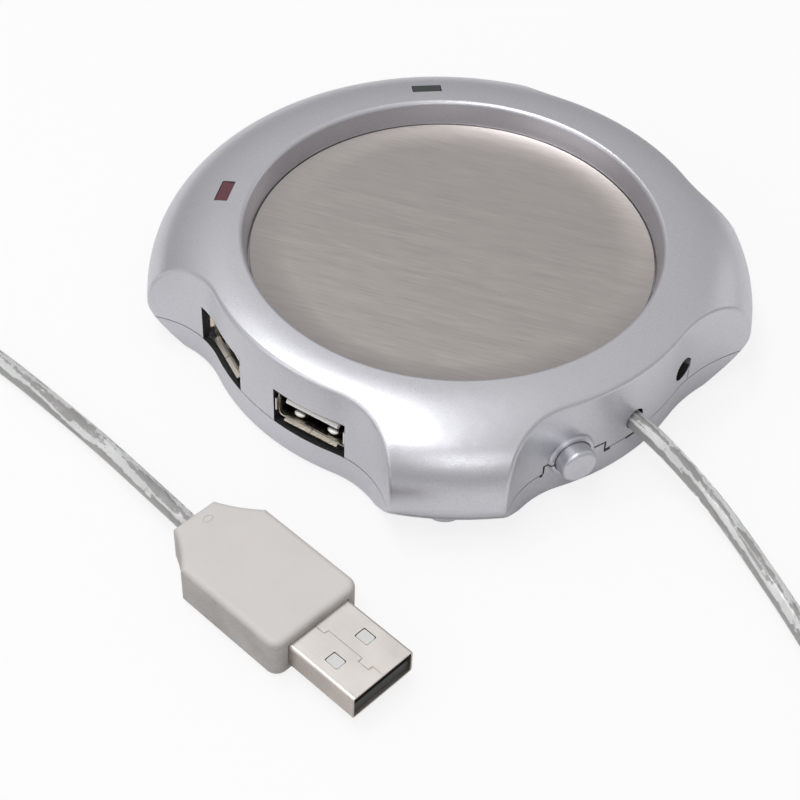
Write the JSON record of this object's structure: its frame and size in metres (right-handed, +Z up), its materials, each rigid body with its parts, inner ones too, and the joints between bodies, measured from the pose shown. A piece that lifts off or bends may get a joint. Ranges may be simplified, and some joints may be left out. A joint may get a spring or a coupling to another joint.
{
  "type": "electric mug warmer",
  "caption": "Round hot plate recessed in a low scalloped dome housing that is also a USB hub, with a side push button, power jack, and clear cable with a USB-A plug.",
  "frame": {"origin": "on the table under the middle of the hot plate", "axes": "+Z up; the housing's lobes lie on X and Y, and the scallop with button, cable and jack faces +X -Y"},
  "size_m": [0.1952, 0.1696, 0.02],
  "materials": {
    "housing_silver": "satin silver lacquer on moulded plastic",
    "button_silver": "satin silver lacquer on moulded plastic",
    "plate_aluminium": "fine brushed",
    "heater_film": "amber polyimide film",
    "insulation_felt": "pressed ceramic felt",
    "steel": "zinc-plated",
    "foot_rubber": "matt",
    "board_green": "solder mask",
    "socket_nickel": "nickel-plated sheet",
    "insulator_black": "moulded",
    "contact_gold": "gold-flashed",
    "component_black": "moulded epoxy",
    "capacitor_sleeve": "sleeved can",
    "lead_red": "extruded insulation",
    "lamp_red": "tinted diffusing resin",
    "lamp_green": "tinted diffusing resin",
    "clamp_grey": "moulded",
    "cable_clear": "clear jacket over a tinned braid",
    "tie_black": "moulded strap",
    "overmold_grey": "fine matt texture",
    "plug_nickel": "bright nickel plate"
  },
  "bodies": {
    "housing": {"upper_housing": "housing_silver", "lower_housing": "housing_silver", "housing_screws": "steel", "rubber_feet": "foot_rubber", "heating_plate": "plate_aluminium", "heater_film": "heater_film", "insulation_pad": "insulation_felt", "heater_retainer": "steel", "retainer_screws": "steel", "thermal_cutoff": "component_black", "heater_leads": "lead_red", "hub_circuit_board": "board_green", "board_screws": "steel", "hub_controller_chip": "component_black", "crystal": "steel", "capacitors": "capacitor_sleeve", "dc_jack_body": "component_black", "dc_jack_pin": "contact_gold", "push_switch_body": "component_black", "power_lamp": "lamp_green", "heater_lamp": "lamp_red", "lamp_legs": "steel", "cable_clamp": "clamp_grey", "cable_conductors": "lead_red", "cable_out": "cable_clear", "cable_coil": "cable_clear", "cable_tie": "tie_black", "cable_back": "cable_clear", "plug_overmold": "overmold_grey", "plug_shell": "plug_nickel", "plug_insulator": "insulator_black", "plug_contacts": "contact_gold", "usb_socket_shell_1": "socket_nickel", "usb_socket_tongue_1": "insulator_black", "usb_socket_contacts_1": "contact_gold", "usb_socket_shell_2": "socket_nickel", "usb_socket_tongue_2": "insulator_black", "usb_socket_contacts_2": "contact_gold", "usb_socket_shell_3": "socket_nickel", "usb_socket_tongue_3": "insulator_black", "usb_socket_contacts_3": "contact_gold", "usb_socket_shell_4": "socket_nickel", "usb_socket_tongue_4": "insulator_black", "usb_socket_contacts_4": "contact_gold"},
    "button": {"push_button": "button_silver", "switch_plunger": "component_black"}
  },
  "joints": [
    {"name": "button_press", "type": "slide", "parent": "housing", "child": "button", "axis": [-0.454, 0.891, 0], "range_m": [0, 0.0015], "stiffness_N_per_m": 1000}
  ]
}
